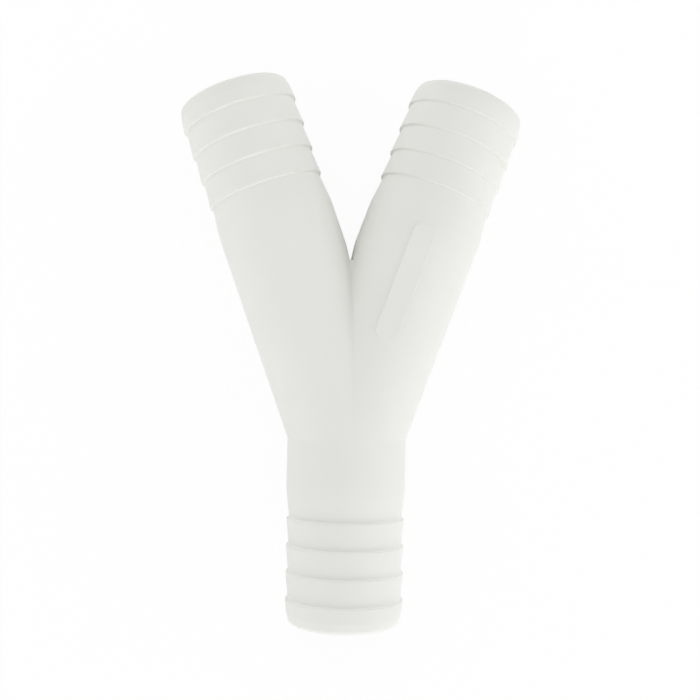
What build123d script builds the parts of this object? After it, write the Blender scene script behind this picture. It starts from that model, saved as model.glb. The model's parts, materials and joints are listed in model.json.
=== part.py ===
from build123d import *
import math
import os

# Y connector for 38 mm sanitation hose, moulded in one piece. One stem divides into two equal legs that
# lean apart from it, and each of the three ends is a barbed tail that a hose is pushed over and clamped on.
# Millimetres, +Z up. The part lies flat, with its three tube axes in one level plane. The stem points
# towards -Y and the legs towards +Y. The origin is under the middle of the whole part, on its lowest point.

# The tubes
bore_radius = 15.25  # the passage
body_radius = 19.25  # the plain tube between the tails
leg_angle = 20.0  # how far each leg leans from the line of the stem, degrees
stem_length = 63.2  # from the meeting point of the tube axes to the stem's mouth
leg_length = 115.4  # the same for a leg

# The hose tails, which are all alike
crest_radius = 19.05  # over the barbs
barb_height = 0.8  # of a crest above the root, where the taper before it ends
barb_count = 4
barb_pitch = 8.6
crest_land = 0.4  # the narrow cylinder on top of each barb
barb_step = 0.6  # length of the steep side that holds the hose back
tip_length = 8.3  # from the last barb's crest to the mouth
neck_length = 8.6  # from the first barb back to the full tube
neck_blend = 24.0  # radius where the neck runs out into the tube
lead_in_length = 3.7  # the two bevels at the mouth that let the hose start
nose_length = 1.0  # the steeper of them, at the very end
nose_share = 0.68  # of the depth of both bevels that the steeper one takes
lip_width = 1.0  # flat end of the mouth, between the bevels and the passage

# Where the tubes merge
shoulder = 0.05  # least width of the ledge that the legs stand on
crease_chamfer = 0.4  # along the crease between the legs and round the crotch
crease_start = 6.0  # above the meeting point, where the crease is deep enough to be filled
relief_depth = 2.4  # of the tapered gap at the crotch, below the point where the legs' round sides would meet
relief_radius = 0.55  # of its closed end
relief_mouth = 2.4  # its half width at its open end
relief_length = 10.0  # between the centres of its two ends

# The raised pad for a marking, left blank, on the upper side of the right leg
pad_length = 38.0
pad_width = 7.2
pad_corner = 2.5
pad_gap = 2.9  # from its outer end to the start of the neck
pad_offset = -0.55  # across the leg, from its middle line
pad_rise = 0.1  # of its flat top above the highest line of the tube
pad_depth = 1.5  # how far down from its top its sides run into the wall

lean = math.radians(leg_angle)
root_radius = crest_radius - barb_height
taper_slope = barb_height / (barb_pitch - crest_land - barb_step)
tip_radius = crest_radius - taper_slope * (tip_length - crest_land - lead_in_length)
lip_radius = bore_radius + lip_width
nose_radius = lip_radius + nose_share * (tip_radius - lip_radius)
neck_slope = math.atan2(body_radius - root_radius, neck_length)
blend_length = neck_blend * math.tan(neck_slope / 2)
tail_length = tip_length + barb_pitch * (barb_count - 1) + barb_step + neck_length + blend_length
pad_centre = leg_length - tail_length - pad_gap - pad_length / 2

# The stem ends a little below the point where its side would meet a leg's side.
ledge_drop = body_radius * math.tan(lean / 2) + shoulder / math.tan(lean)
relief_start = body_radius / math.sin(lean) - relief_depth + relief_radius

# The tube axes meet at the origin until the part is finished. Each frame's Y runs outwards along its tube.
stem_frame = Plane.XY.rotated((0, 0, 180))
right_leg_frame = Plane.XY.rotated((0, 0, -leg_angle))
left_leg_frame = Plane.XY.rotated((0, 0, leg_angle))
ledge_plane = Plane.XZ.offset(ledge_drop).reverse()
crease_plane = Plane.XZ.offset(-crease_start).reverse()


def barbed_tube(frame, start, mouth):
    """Solid tube from start to mouth along the frame's Y, with a hose tail at its mouth."""
    crests = [mouth - tip_length - barb_pitch * n for n in reversed(range(barb_count))]
    teeth = []
    for crest in crests:
        teeth += [(root_radius, crest - barb_step), (crest_radius, crest), (crest_radius, crest + crest_land)]
    blend_start = (body_radius, mouth - tail_length)
    lead_in = [(tip_radius, mouth - lead_in_length), (nose_radius, mouth - nose_length), (lip_radius, mouth)]
    with BuildPart() as tube:
        with BuildSketch(frame):
            with BuildLine():
                Polyline((0, start), (body_radius, start), blend_start)
                blend = JernArc(blend_start, (0, 1), neck_blend, math.degrees(neck_slope))
                Polyline(blend @ 1, *teeth, *lead_in, (0, mouth), (0, start))
            make_face()
        revolve(axis=Axis(frame.origin, frame.y_dir))
    return tube.part


leg = barbed_tube(right_leg_frame, -body_radius, leg_length)
stem = barbed_tube(stem_frame, ledge_drop, stem_length)

# The legs above the start of the crease: half a leg and its mirror image, and a narrow fill between them
with BuildPart() as forked_legs:
    add(leg)
    split(bisect_by=crease_plane)
    split(bisect_by=Plane.YZ)
    mirror(about=Plane.YZ)
    crease = forked_legs.edges().filter_by(GeomType.ELLIPSE).filter_by_position(Axis.X, 0, 0)
    chamfer(crease, crease_chamfer)

with BuildPart() as y_connector:
    # The legs below the start of the crease, cut square where the stem begins
    add(leg)
    split(bisect_by=crease_plane, keep=Keep.BOTTOM)
    split(bisect_by=ledge_plane)
    split(bisect_by=Plane.YZ)
    mirror(about=Plane.YZ)
    add(forked_legs.part)
    add(stem)

    # The tapered gap that a thin blade of the mould leaves at the crotch
    with BuildSketch():
        with Locations((0, relief_start)):
            Circle(relief_radius)
        with Locations((0, relief_start + relief_length)):
            Circle(relief_mouth)
        make_hull()
    extrude(amount=body_radius, both=True, mode=Mode.SUBTRACT)

    # The passages, which part at an edge between the legs
    for frame, mouth in ((stem_frame, stem_length), (right_leg_frame, leg_length), (left_leg_frame, leg_length)):
        with BuildSketch(Plane(frame.origin, x_dir=frame.x_dir, z_dir=frame.y_dir)):
            Circle(bore_radius)
        extrude(amount=mouth, mode=Mode.SUBTRACT)

    # The pad
    with BuildSketch(right_leg_frame.offset(body_radius + pad_rise)):
        with Locations((pad_offset, pad_centre)):
            RectangleRounded(pad_width, pad_length, pad_corner)
    extrude(amount=-pad_depth)

box = y_connector.part.bounding_box()
y_connector.part.move(Location((0, -box.center().Y, -box.min.Z)))
y_connector.part.label = "y_connector"
os.makedirs("parts", exist_ok=True)
export_step(y_connector.part, "parts/y_connector.step")
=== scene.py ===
# %% [markdown]
# # A white Y connector for sanitation hose
# The real part is one plastic moulding. One stem divides into two legs, and every end is a barbed tail
# that a hose is pushed over. The solid model of it is already made, at its real size and in its own
# frame. This lesson dresses that model: a camera, a finer surface with the small roundings that a mould
# leaves, a satin plastic finish, and soft studio light.

# %% Load the solid model
import json
import math

import bmesh
import bpy
from mathutils import Matrix, Vector

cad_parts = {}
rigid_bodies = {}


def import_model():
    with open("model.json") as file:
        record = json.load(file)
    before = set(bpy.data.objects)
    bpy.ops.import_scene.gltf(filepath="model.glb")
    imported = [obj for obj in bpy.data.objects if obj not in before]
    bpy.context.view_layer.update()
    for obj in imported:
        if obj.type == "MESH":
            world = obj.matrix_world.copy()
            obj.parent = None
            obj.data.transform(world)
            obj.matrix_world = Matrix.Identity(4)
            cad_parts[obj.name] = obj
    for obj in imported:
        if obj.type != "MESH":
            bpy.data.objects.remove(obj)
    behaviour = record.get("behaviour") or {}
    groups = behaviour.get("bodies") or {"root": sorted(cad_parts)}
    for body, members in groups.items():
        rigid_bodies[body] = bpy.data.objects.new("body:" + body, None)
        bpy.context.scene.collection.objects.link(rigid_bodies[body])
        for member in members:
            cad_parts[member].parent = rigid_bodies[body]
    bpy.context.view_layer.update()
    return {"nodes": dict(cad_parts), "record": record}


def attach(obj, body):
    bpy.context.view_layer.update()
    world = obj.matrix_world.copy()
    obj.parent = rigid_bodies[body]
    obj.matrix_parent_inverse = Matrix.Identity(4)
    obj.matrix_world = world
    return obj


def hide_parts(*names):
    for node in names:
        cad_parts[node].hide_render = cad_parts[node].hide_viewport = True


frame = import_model()
connector = frame["nodes"]["y_connector"]

# %% [markdown]
# ## Sizes
# The record of the solid model states the axes, lengths and radii of the tubes, so those are read from it
# and aren't typed again. What it doesn't state, such as the height of a barb, is named here. Lengths are
# in millimetres, measured from the junction, the point where the three tube axes meet. Only the finished
# mesh is brought to metres.

# %% Sizes that the record states
MM = 0.001
mounts = {mount["name"]: mount for mount in frame["record"]["mounts"]}
leg_tail = mounts["right_leg_tail"]
leg_passage = mounts["right_leg_passage"]
stem_passage = mounts["stem_passage"]
leg_axis = Vector(leg_tail["axis"])
tail_middle = Vector(leg_tail["pos_m"])
junction = tail_middle - leg_axis * (tail_middle.x / leg_axis.x)

lean = math.atan2(leg_axis.x, leg_axis.y)
body_radius = junction.z / MM
crest_radius = leg_tail["dims"]["r_mm"]
bore_radius = leg_passage["dims"]["r_mm"]
leg_length = leg_passage["dims"]["length_mm"]
stem_length = stem_passage["dims"]["length_mm"]
print("junction", junction, "lean", round(math.degrees(lean), 2), "body radius", round(body_radius, 3))

# %% Sizes of the hose tails
barb_height, barb_count, barb_pitch = 0.8, 4, 8.6
crest_land, barb_step = 0.4, 0.6
wall_run = 0.4  # the steep side of a barb, from foot to crest, along the tube
crest_shift = 0.2  # a crest is round, and its highest line lies on the middle of its narrow land
tip_length, neck_length, lead_in_length, nose_length = 8.3, 8.6, 3.7, 1.0
nose_share, lip_width = 0.68, 1.0
neck_blend = 24.0  # radius of the curve where the neck leaves the tube
root_round, crest_round = 0.15, 0.3  # at the foot and on top of a barb
tip_round, nose_round, lip_round = 6.0, 1.6, 1.0  # at the mouth, from the tail to the flat end

root_radius = crest_radius - barb_height
taper_slope = barb_height / (barb_pitch - crest_land - barb_step)
tip_radius = crest_radius - taper_slope * (tip_length - crest_land - lead_in_length)
lip_radius = bore_radius + lip_width
nose_radius = lip_radius + nose_share * (tip_radius - lip_radius)
print("tip radius", round(tip_radius, 2), "lip radius", round(lip_radius, 2))

# %% [markdown]
# ## Camera
# The camera looks down on the part, which lies flat. It stands about a third of a metre above it, a
# little to the left, so one sees slightly more of the left flank of each tube. A real lens at that
# distance shows the near things larger, and a true focal length with no shift keeps those proportions.

# %% Place the camera
yaw, pitch, roll = (math.radians(angle) for angle in (4.383, -2.435, -1.017))
standoff = Vector((-1.063, -25.245, -323.834)) * MM  # of the junction, in the camera's own axes
image_width, focal_pixels, sensor_width = 700.0, 992.874, 36.0

turn = Matrix.Rotation(roll, 3, "Z") @ Matrix.Rotation(pitch, 3, "X") @ Matrix.Rotation(yaw, 3, "Y")
camera = bpy.data.objects.new("camera", bpy.data.cameras.new("camera"))
camera.data.sensor_width = sensor_width
camera.data.lens = sensor_width * focal_pixels / image_width
camera.data.clip_start = 0.01
facing = turn.transposed()
camera.matrix_world = Matrix.Translation(junction - facing @ standoff) @ facing.to_4x4()
bpy.context.scene.collection.objects.link(camera)
bpy.context.scene.camera = camera
print("camera at", camera.matrix_world.translation)

# %% [markdown]
# ## The outline of a hose tail
# All three tails are turned shapes, so one outline serves for all of them: a list of places along the
# tube and the radius there. A drawn polygon has knife edges, and no moulding has those, so a helper
# replaces each corner by an arc. A bevel modifier could do that too, but it needs clean loops, and it
# would give every corner one radius. Here each corner has its own: crests are soft, roots are tight, and
# the neck runs out in a long curve.

# %% Round the corners of an outline
def rounded_outline(points, radii, steps):
    """The outline with an arc of the given radius at each of its inner corners."""
    outline = [points[0]]
    for before, corner, after, radius, pieces in zip(points, points[1:], points[2:], radii, steps):
        back, ahead = (before - corner).normalized(), (after - corner).normalized()
        half = back.angle(ahead) / 2
        centre = corner + (back + ahead).normalized() * radius / math.sin(half)
        first = corner + back * radius / math.tan(half) - centre
        last = corner + ahead * radius / math.tan(half) - centre
        sweep = first.angle_signed(last)
        for piece in range(pieces + 1):
            outline.append(centre + Matrix.Rotation(-sweep * piece / pieces, 2) @ first)
    return outline + [points[-1]]


# %% Draw the tail
def tail_outline(mouth):
    """Places along the tube and radii there, from the start of the neck to the edge of the passage."""
    crests = [mouth - tip_length - barb_pitch * n for n in reversed(range(barb_count))]
    neck_start = crests[0] - barb_step - neck_length
    points = [(neck_start - neck_length, body_radius), (neck_start, body_radius)]
    radii, steps = [neck_blend], [8]
    for crest in crests:
        points += [(crest + crest_shift - wall_run, root_radius), (crest + crest_shift, crest_radius)]
        radii += [root_round, crest_round]
        steps += [3, 4]
    points += [(mouth - lead_in_length, tip_radius), (mouth - nose_length, nose_radius)]
    points += [(mouth, lip_radius)]
    radii += [tip_round, nose_round, lip_round]
    steps += [4, 5, 4]
    points.append((mouth, bore_radius))
    return rounded_outline([Vector(point) for point in points], radii, steps)[1:]


print("points in the outline of a leg's tail:", len(tail_outline(leg_length)))

# %% [markdown]
# ## Where the tubes merge
# A boolean union of three cylinders would give the right shape, but its seams are hard, and the faces
# beside them are slivers that shade badly. The seams are simple curves, so the mesh is laid out along
# them instead. Each leg is a set of columns that run along the tube, one every three degrees round it. A
# column on the inner side starts in the crease between the legs, which is the trace of a small ball that
# rolls along both tubes. A column on the outer side starts at the ledge where the legs stand on the stem.
# Only the right half is made, and the left half is its mirror image.

# %% Points on a leg
column_step = 3.0
crease_ball = 0.8  # radius of the rounding in the crease
ledge_run = 12.0  # length over which a leg sinks from the stem's circle to its own
ledge_width = 0.05  # least width of the ledge
ledge_grows = math.radians(40)  # from the top, the angle over which the run reaches its full length
seam_parts = (0, 0.25, 0.5, 0.75, 1)  # where rows of points lie, on the way across a seam
leg_steps, stem_steps, bore_steps = 6, 4, 6  # quads along a plain tube and along a passage
slack = 0.999  # leaves the outermost column on the ledge, however its last digit is rounded
ledge_drop = body_radius * math.tan(lean / 2) + ledge_width / math.tan(lean)
first_outer = math.degrees(math.asin(ledge_drop * math.sin(lean) / body_radius))

along = Vector((math.sin(lean), math.cos(lean), 0))
across = Vector((math.cos(lean), -math.sin(lean), 0))
up = Vector((0, 0, 1))


def leg_point(distance, radius, angle):
    """A point round the right leg's axis. The angle is 0 on top and 90 degrees on the outer side."""
    return along * distance + (across * math.sin(angle) + up * math.cos(angle)) * radius


# %% Start of a column in the crease
def crease_rows(angle):
    """From the bottom of the crease, round the ball, to the place on the tube where the ball leaves it."""
    reach = body_radius + crease_ball
    centre = Vector((0, -reach * math.sin(angle) / math.sin(lean), reach * math.cos(angle)))
    foot = -reach * math.sin(angle) / math.tan(lean)
    to_leg = (along * foot - centre).normalized()
    to_middle = (Vector((0, foot * math.cos(lean), 0)) - centre).normalized()
    rows = []
    for part in seam_parts:
        rows.append(centre + to_middle.slerp(to_leg, part) * crease_ball)
    return rows, foot


# %% Start of a column on the ledge
def ledge_rows(angle):
    """From the stem's own circle down to the surface of the leg. The way down is longest on the flanks."""
    side = abs(math.sin(angle))
    share = min(1.0, min(angle, math.pi - angle) / ledge_grows)
    fade = ledge_drop + (ledge_run - ledge_drop) * share * share * (3 - 2 * share)
    if side * body_radius < ledge_drop * math.sin(lean) * slack:
        # Near the top and bottom a column starts on the middle plane, above the ledge.
        raised, start = body_radius, -body_radius * side / math.tan(lean)
    else:
        # In the plane of the ledge, the way from the leg's axis to the stem's circle solves a quadratic.
        a = (side / math.cos(lean)) ** 2 + math.cos(angle) ** 2
        b = -2 * side * ledge_drop * math.tan(lean) / math.cos(lean)
        c = (ledge_drop * math.tan(lean)) ** 2 - body_radius ** 2
        raised = (-b + math.sqrt(b * b - 4 * a * c)) / (2 * a)
        start = (raised * side * math.sin(lean) - ledge_drop) / math.cos(lean)
    rows = []
    for part in seam_parts:
        radius = body_radius + (raised - body_radius) * (1 - part) ** 2
        rows.append(leg_point(start + part * fade, radius, angle))
    return rows, start + fade


# %% Columns of the right leg
def straight_rows(start, end, count):
    """Places between two ends of a plain run, with one close to its start to keep the shading tight."""
    return [start + close_row] + [start + (end - start) * n / count for n in range(1, count)]


close_row = 0.4  # mm
moved = {column_step: first_outer, 180 - column_step: 180 - first_outer}  # to where the ledge ends
leg_angles = [-180 + column_step * n for n in range(1, int(360 / column_step) + 1)]
leg_angles = [moved.get(angle, angle) for angle in leg_angles]
leg_tail_outline = tail_outline(leg_length)
leg_columns, leg_bore_columns = [], []
for degrees in leg_angles:
    angle = math.radians(degrees)
    rows, begin = crease_rows(angle) if degrees < 0 else ledge_rows(angle)
    plain = straight_rows(begin, leg_tail_outline[0].x, leg_steps)
    rows += [leg_point(distance, body_radius, angle) for distance in plain]
    rows += [leg_point(distance, radius, angle) for distance, radius in leg_tail_outline]
    leg_columns.append(rows)

    turn_in = math.tan(lean / 2) if degrees >= 0 else -1 / math.tan(lean)
    begin = bore_radius * math.sin(angle) * turn_in
    depths = [leg_length + (begin - leg_length) * n / bore_steps for n in range(bore_steps + 1)]
    leg_bore_columns.append([leg_point(depth, bore_radius, angle) for depth in depths])
print("columns of the leg:", len(leg_columns), "points in each:", len(leg_columns[0]))

# %% [markdown]
# The stem's columns start at the very points on the ledge where the leg's outer columns start, so the two
# skins share their edge. The passages are laid out in the same way. The leg's passage meets the stem's on
# a plane that halves the angle between them, and the two legs' passages meet in the divider edge.

# %% Columns of the right half of the stem
def stem_angle(degrees, ledge_point):
    """The angle round the stem of a column that goes on from the leg's column at the given angle."""
    if degrees in (0, first_outer):
        return 0.0
    if degrees >= 180 - first_outer:
        return math.pi
    return math.atan2(ledge_point.x, ledge_point.z)


stem_tail_outline = tail_outline(stem_length)
stem_columns, stem_bore_columns = [], []
for degrees, column in zip(leg_angles, leg_columns):
    if degrees < 0:
        continue
    angle = math.radians(degrees)
    side = stem_angle(degrees, column[0])
    if first_outer <= degrees <= 180 - first_outer:
        plain = [ledge_drop] + straight_rows(ledge_drop, stem_tail_outline[0].x, stem_steps)
        runs = [(distance, body_radius) for distance in plain]
        runs += [tuple(point) for point in stem_tail_outline]
        stem_columns.append([Vector((radius * math.sin(side), -distance, radius * math.cos(side)))
                             for distance, radius in runs])
    begin = bore_radius * math.sin(angle) * math.tan(lean / 2)
    bore_rows = []
    for n in range(bore_steps + 1):
        distance = stem_length + (begin - stem_length) * n / bore_steps
        swung = side + (angle - side) * n / bore_steps
        bore_rows.append(Vector((bore_radius * math.sin(swung), -distance, bore_radius * math.cos(swung))))
    stem_bore_columns.append(bore_rows)
print("columns of half the stem:", len(stem_columns))

# %% Skin the columns and mirror them
def skin(mesh, columns, closed):
    """Quads between neighbouring columns of points."""
    rails = [[mesh.verts.new(point) for point in column] for column in columns]
    for left, right in zip(rails, rails[1:] + rails[:1] if closed else rails[1:]):
        for n in range(len(left) - 1):
            mesh.faces.new((left[n], right[n], right[n + 1], left[n + 1]))


merge_distance = 0.01  # mm
shape = bmesh.new()
skin(shape, leg_columns, True)
skin(shape, leg_bore_columns, True)
skin(shape, stem_columns, False)
skin(shape, stem_bore_columns, False)
for vert in shape.verts:
    if abs(vert.co.x) < merge_distance:
        vert.co.x = 0
right_half = list(shape.verts) + list(shape.edges) + list(shape.faces)
mirrored = bmesh.ops.duplicate(shape, geom=right_half)["geom"]
for item in mirrored:
    if isinstance(item, bmesh.types.BMVert):
        item.co.x = -item.co.x
bmesh.ops.remove_doubles(shape, verts=shape.verts, dist=merge_distance)
bmesh.ops.recalc_face_normals(shape, faces=shape.faces)
open_edges = [edge for edge in shape.edges if len(edge.link_faces) != 2]
print("faces:", len(shape.faces), "edges that don't join two faces:", len(open_edges), "volume mm3:",
      round(shape.calc_volume()))


# %% Turn a shape into an object
def to_object(mesh, name):
    """A scene object from a shape in millimetres about the junction."""
    bmesh.ops.scale(mesh, vec=(MM, MM, MM), verts=mesh.verts)
    bmesh.ops.translate(mesh, vec=junction, verts=mesh.verts)
    data = bpy.data.meshes.new(name)
    mesh.to_mesh(data)
    mesh.free()
    piece = bpy.data.objects.new(name, data)
    bpy.context.scene.collection.objects.link(piece)
    return piece


body = to_object(shape, "moulded_body")

# %% [markdown]
# ## The gap at the crotch and the marking pad
# A thin blade of the mould stands between the legs, so the crotch isn't a perfect point: it ends in a
# narrow tapered gap. And on the right leg there is a raised pad for a marking, which is left blank here.
# Both are small and don't follow the columns, so here a boolean is the right tool: each is a closed prism
# of its own, one is taken away from the body and the other is joined to it.

# %% A prism from rings of points
def prism(rings):
    """A closed shape through rings that have the same number of points, with flat ends."""
    mesh = bmesh.new()
    skin(mesh, [[Vector(ring[n]) for ring in rings] for n in range(len(rings[0]))], True)
    bmesh.ops.remove_doubles(mesh, verts=mesh.verts, dist=merge_distance / 10)
    bmesh.ops.holes_fill(mesh, edges=mesh.edges)
    bmesh.ops.recalc_face_normals(mesh, faces=mesh.faces)
    return mesh


# %% The blade that leaves the gap
relief_depth, relief_radius, relief_mouth, relief_length = 2.4, 0.55, 2.4, 10.0
blade_steps = 12  # round each end of the blade
relief_start = body_radius / math.sin(lean) - relief_depth + relief_radius
taper = math.asin((relief_mouth - relief_radius) / relief_length)
blade_outline = []
for centre, radius, first, last in (
        (relief_start, relief_radius, taper - math.pi / 2, math.pi / 2 - taper),
        (relief_start + relief_length, relief_mouth, math.pi / 2 - taper, 3 * math.pi / 2 + taper)):
    for n in range(blade_steps + 1):
        swing = first + (last - first) * n / blade_steps
        blade_outline.append((radius * math.sin(swing), centre - radius * math.cos(swing)))
blade_ends = [[(x, y, z) for x, y in blade_outline] for z in (-body_radius, body_radius)]
blade = to_object(prism(blade_ends), "mould_blade")
print("the gap starts", round(relief_start - relief_radius, 2), "mm from the junction")

# %% The pad
pad_length, pad_width, pad_corner, pad_offset, pad_gap = 38.0, 7.2, 2.5, -0.55, 2.9
pad_rise, pad_depth, pad_edge = 0.1, 1.5, 0.25
corner_steps, edge_steps = 8, 4  # round a corner of the pad and over its edge
pad_middle = leg_tail_outline[0].x - pad_gap - pad_length / 2


def pad_ring(inset, height):
    """A rounded rectangle across and along the right leg, at a height above its axis."""
    half_width, half_length, corner = pad_width / 2 - inset, pad_length / 2 - inset, pad_corner - inset
    ring = []
    for quarter, (side, end) in enumerate(((1, 1), (-1, 1), (-1, -1), (1, -1))):
        for n in range(corner_steps + 1):
            swing = (quarter + n / corner_steps) * math.pi / 2
            over = side * (half_width - corner) + corner * math.cos(swing) + pad_offset
            down = end * (half_length - corner) + corner * math.sin(swing) + pad_middle
            ring.append(across * over + along * down + up * height)
    return ring


pad_top = body_radius + pad_rise
rings = [pad_ring(0, pad_top - pad_depth)]
for n in range(edge_steps + 1):
    bend = n / edge_steps * math.pi / 2
    rings.append(pad_ring(pad_edge * (1 - math.cos(bend)), pad_top - pad_edge * (1 - math.sin(bend))))
pad = to_object(prism(rings), "blank_pad")
print("the pad's middle is", round(pad_middle, 2), "mm from the junction")

# %% Cut, join and keep the result
for tool, operation in ((blade, "DIFFERENCE"), (pad, "UNION")):
    step = body.modifiers.new(tool.name, "BOOLEAN")
    step.object, step.operation, step.solver = tool, operation, "EXACT"
joined = bpy.data.meshes.new_from_object(body.evaluated_get(bpy.context.evaluated_depsgraph_get()))
body.modifiers.clear()
body.data = joined
for tool in (blade, pad):
    bpy.data.objects.remove(tool)
joined.polygons.foreach_set("use_smooth", [True] * len(joined.polygons))
sharp_from = math.radians(35)
joined.set_sharp_from_angle(angle=sharp_from)
weights = body.modifiers.new("even_shading", "WEIGHTED_NORMAL")
weights.keep_sharp = True
print("faces in the finished body:", len(joined.polygons), "triangles:",
      sum(len(face.vertices) - 2 for face in joined.polygons))

# %% Put the body in the solid model's place
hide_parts("y_connector")
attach(body, "root")
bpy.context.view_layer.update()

# %% [markdown]
# ## Shared effects
# Two effects are used by more than one material, so each is a node group with named sockets, built once.
# One is a soft mottle: moulded plastic and a paper floor are never one even tone. The other is a fine
# grain for their relief. A group only puts out values that change over the surface. The shader itself
# stays in the material, and every number that is the same all over is set on the shader's own socket.

# %% A helper for node groups
def new_group(name, inputs, output):
    """A shader node group with number inputs beside its Vector, and one number output."""
    group = bpy.data.node_groups.new(name, "ShaderNodeTree")
    group.interface.new_socket("Vector", in_out="INPUT", socket_type="NodeSocketVector")
    for label in inputs:
        group.interface.new_socket(label, in_out="INPUT", socket_type="NodeSocketFloat")
    group.interface.new_socket(output, in_out="OUTPUT", socket_type="NodeSocketFloat")
    return group, group.nodes.new("NodeGroupInput"), group.nodes.new("NodeGroupOutput")


# %% Soft mottle
mottle, mottle_in, mottle_out = new_group("soft_mottle", ("Spots per metre", "Lowest", "Highest"), "Value")
cloud = mottle.nodes.new("ShaderNodeTexNoise")
cloud.inputs["Detail"].default_value = 3.0
spread = mottle.nodes.new("ShaderNodeMapRange")
spread.inputs["From Min"].default_value, spread.inputs["From Max"].default_value = 0.3, 0.7
mottle.links.new(mottle_in.outputs["Vector"], cloud.inputs["Vector"])
mottle.links.new(mottle_in.outputs["Spots per metre"], cloud.inputs["Scale"])
mottle.links.new(cloud.outputs["Fac"], spread.inputs["Value"])
mottle.links.new(mottle_in.outputs["Lowest"], spread.inputs["To Min"])
mottle.links.new(mottle_in.outputs["Highest"], spread.inputs["To Max"])
mottle.links.new(spread.outputs["Result"], mottle_out.inputs["Value"])
print("soft_mottle has", len(mottle.nodes), "nodes")

# %% Fine grain
grain, grain_in, grain_out = new_group(
    "fine_grain", ("Grains per metre", "Swells per metre", "Swell share"), "Height")
pits = grain.nodes.new("ShaderNodeTexNoise")
pits.inputs["Detail"].default_value = 2.0
swell = grain.nodes.new("ShaderNodeTexNoise")
swell.inputs["Detail"].default_value = 0.0
blend = grain.nodes.new("ShaderNodeMix")
grain.links.new(grain_in.outputs["Vector"], pits.inputs["Vector"])
grain.links.new(grain_in.outputs["Vector"], swell.inputs["Vector"])
grain.links.new(grain_in.outputs["Grains per metre"], pits.inputs["Scale"])
grain.links.new(grain_in.outputs["Swells per metre"], swell.inputs["Scale"])
grain.links.new(grain_in.outputs["Swell share"], blend.inputs["Factor"])
grain.links.new(pits.outputs["Fac"], blend.inputs["A"])
grain.links.new(swell.outputs["Fac"], blend.inputs["B"])
grain.links.new(blend.outputs["Result"], grain_out.inputs["Height"])
print("fine_grain has", len(grain.nodes), "nodes")


# %% A helper that places a group in a material
def use_group(material, group, **numbers):
    """The group in a material, fed with places in metres and with its own numbers."""
    tree = material.node_tree
    node = tree.nodes.new("ShaderNodeGroup")
    node.node_tree = group
    place = tree.nodes.get("Texture Coordinate") or tree.nodes.new("ShaderNodeTexCoord")
    tree.links.new(place.outputs["Object"], node.inputs["Vector"])
    for label, number in numbers.items():
        node.inputs[label.replace("_", " ")].default_value = number
    return node


# %% [markdown]
# ## The plastic
# The part is a white commodity plastic, a little warm, with a satin skin. Its highlights are broad and
# weak, because the steel of such a mould is only stoned, not polished. So the roughness is in the middle
# of the range and wanders a little, the colour moves between two near whites over a few centimetres, and
# a very low relief breaks up the reflections.

# %% White satin plastic
plastic = bpy.data.materials.new("white_plastic")
plastic.use_nodes = True
tree = plastic.node_tree
shader = tree.nodes["Principled BSDF"]
shader.inputs["IOR"].default_value = 1.49
shader.inputs["Specular IOR Level"].default_value = 0.25

tone = use_group(plastic, mottle, Spots_per_metre=45.0, Lowest=0.0, Highest=1.0)
tint = tree.nodes.new("ShaderNodeMix")
tint.data_type = "RGBA"
tint.inputs["A"].default_value = (0.792, 0.796, 0.757, 1)
tint.inputs["B"].default_value = (0.808, 0.812, 0.777, 1)
tree.links.new(tone.outputs["Value"], tint.inputs["Factor"])
tree.links.new(tint.outputs["Result"], shader.inputs["Base Color"])

gloss = use_group(plastic, mottle, Spots_per_metre=160.0, Lowest=0.48, Highest=0.58)
tree.links.new(gloss.outputs["Value"], shader.inputs["Roughness"])

relief = tree.nodes.new("ShaderNodeBump")
relief.inputs["Strength"].default_value = 0.6
relief.inputs["Distance"].default_value = 0.00002
skin_grain = use_group(plastic, grain, Grains_per_metre=2600.0, Swells_per_metre=260.0, Swell_share=0.6)
tree.links.new(skin_grain.outputs["Height"], relief.inputs["Height"])
tree.links.new(relief.outputs["Normal"], shader.inputs["Normal"])

body.data.materials.clear()
body.data.materials.append(plastic)
connector.material_slots[0].material = plastic
print("white_plastic has", len(tree.nodes), "nodes")

# %% [markdown]
# ## Floor and background
# The part lies on a pale floor. The picture should have a white ground, and more light would burn the
# part out. So the camera, and rays from glossy or clear things, see the floor as mostly plain white,
# mixed with a share of the real, lit floor that keeps the shadow. All other light meets a real pale
# floor, which lights the part from below. The world works in the same way.

# %% What the camera sees as white
def seen_directly(tree):
    """One for camera, glossy and transmission rays, and nought for the rest."""
    path = tree.nodes.new("ShaderNodeLightPath")
    total = path.outputs["Is Camera Ray"]
    for ray in ("Is Glossy Ray", "Is Transmission Ray"):
        either = tree.nodes.new("ShaderNodeMath")
        either.operation = "MAXIMUM"
        tree.links.new(total, either.inputs[0])
        tree.links.new(path.outputs[ray], either.inputs[1])
        total = either.outputs[0]
    return total


# %% World
scene = bpy.context.scene
scene.view_settings.view_transform = "Standard"
ambient = 0.25
world = bpy.data.worlds.new("studio")
scene.world = world
world.use_nodes = True
sky = world.node_tree
room = sky.nodes["Background"]
room.inputs["Color"].default_value = (1, 1, 1, 1)
room.inputs["Strength"].default_value = ambient
white = sky.nodes.new("ShaderNodeBackground")
white.inputs["Color"].default_value = (1, 1, 1, 1)
choice = sky.nodes.new("ShaderNodeMixShader")
sky.links.new(seen_directly(sky), choice.inputs["Fac"])
sky.links.new(room.outputs["Background"], choice.inputs[1])
sky.links.new(white.outputs["Background"], choice.inputs[2])
sky.links.new(choice.outputs["Shader"], sky.nodes["World Output"].inputs["Surface"])
print("strength of the room's light:", ambient)

# %% Floor
floor_side = 6.0
floor_mesh = bmesh.new()
bmesh.ops.create_grid(floor_mesh, x_segments=1, y_segments=1, size=floor_side / 2)
floor_data = bpy.data.meshes.new("floor")
floor_mesh.to_mesh(floor_data)
floor_mesh.free()
floor = bpy.data.objects.new("floor", floor_data)
scene.collection.objects.link(floor)
print("floor", floor_side, "m square")

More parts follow.
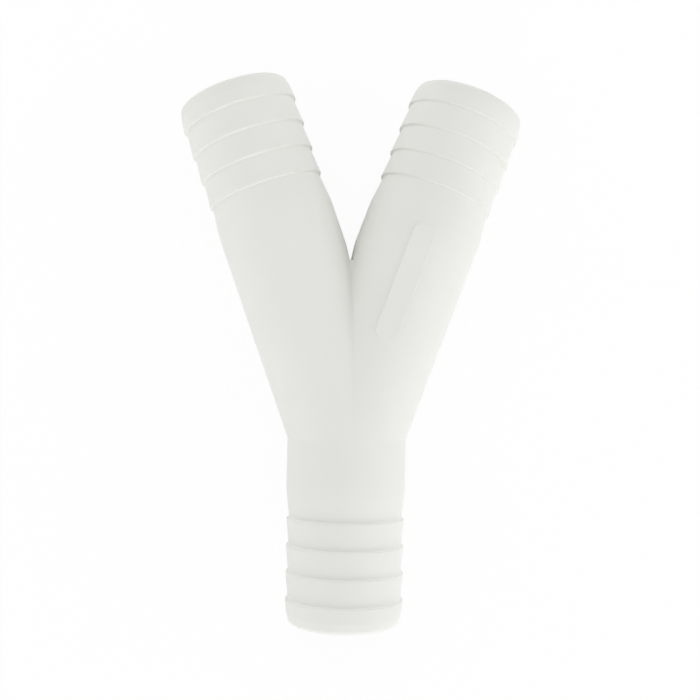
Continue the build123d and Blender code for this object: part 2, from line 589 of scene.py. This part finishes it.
# %% Pale paper
paper = bpy.data.materials.new("pale_paper")
paper.use_nodes = True
tree = paper.node_tree
shader = tree.nodes["Principled BSDF"]
shader.inputs["Roughness"].default_value = 0.9
shade = use_group(paper, mottle, Spots_per_metre=20.0, Lowest=0.0, Highest=1.0)
tint = tree.nodes.new("ShaderNodeMix")
tint.data_type = "RGBA"
tint.inputs["A"].default_value = (0.94, 0.94, 0.94, 1)
tint.inputs["B"].default_value = (0.96, 0.96, 0.96, 1)
tree.links.new(shade.outputs["Value"], tint.inputs["Factor"])
tree.links.new(tint.outputs["Result"], shader.inputs["Base Color"])
tooth = tree.nodes.new("ShaderNodeBump")
tooth.inputs["Distance"].default_value = 0.00005
paper_grain = use_group(paper, grain, Grains_per_metre=1500.0, Swells_per_metre=200.0, Swell_share=0.3)
tree.links.new(paper_grain.outputs["Height"], tooth.inputs["Height"])
tree.links.new(tooth.outputs["Normal"], shader.inputs["Normal"])
print("pale_paper has", len(tree.nodes), "nodes")

# %% White for the camera
white_share = 0.94
glow = tree.nodes.new("ShaderNodeEmission")
share = tree.nodes.new("ShaderNodeMath")
share.operation = "MULTIPLY"
share.inputs[1].default_value = white_share
mix = tree.nodes.new("ShaderNodeMixShader")
tree.links.new(seen_directly(tree), share.inputs[0])
tree.links.new(share.outputs[0], mix.inputs["Fac"])
tree.links.new(shader.outputs["BSDF"], mix.inputs[1])
tree.links.new(glow.outputs["Emission"], mix.inputs[2])
tree.links.new(mix.outputs["Shader"], tree.nodes["Material Output"].inputs["Surface"])
floor_data.materials.append(paper)
print("share of plain white that the camera sees:", white_share)

# %% [markdown]
# ## Lamps
# Large square soft boxes stand round the part and look at it. The strongest is low in front of the stem's
# mouth. The steep sides of the barbs on the legs face it and show as bright lines, and those on the stem
# face away from it and show as dark ones. The right is lit more than the left, which gives the tubes a
# bright right flank. Two high boxes, behind and on the left, reach into the gap between the legs.

# %% Soft boxes round the part
lamp_distance, lamp_side = 1.0, 0.8
lamps = {  # direction round the part, from the front, and height, in degrees; power in watts
    "front": (0, 12, 6.3),
    "front_right": (45, 20, 0.85),
    "right_low": (90, 12, 2.9),
    "right_high": (90, 30, 1.75),
    "back_right": (135, 20, 1.1),
    "back_high": (180, 55, 2.7),
    "back_left": (225, 20, 1.9),
    "left": (270, 30, 2.1),
    "left_high": (270, 55, 0.5),
    "front_left": (315, 20, 0.75),
}
for name, (direction, height, power) in lamps.items():
    data = bpy.data.lights.new(name + "_soft_box", "AREA")
    data.size, data.energy = lamp_side, power
    lamp = bpy.data.objects.new(name + "_soft_box", data)
    heading, climb = math.radians(direction), math.radians(height)
    level = math.cos(climb)
    away = Vector((math.sin(heading) * level, -math.cos(heading) * level, math.sin(climb)))
    lamp.location = junction + away * lamp_distance
    lamp.rotation_euler = away.to_track_quat("Z", "Y").to_euler()
    lamp.visible_camera = False
    scene.collection.objects.link(lamp)
print("lamps:", ", ".join(lamps))
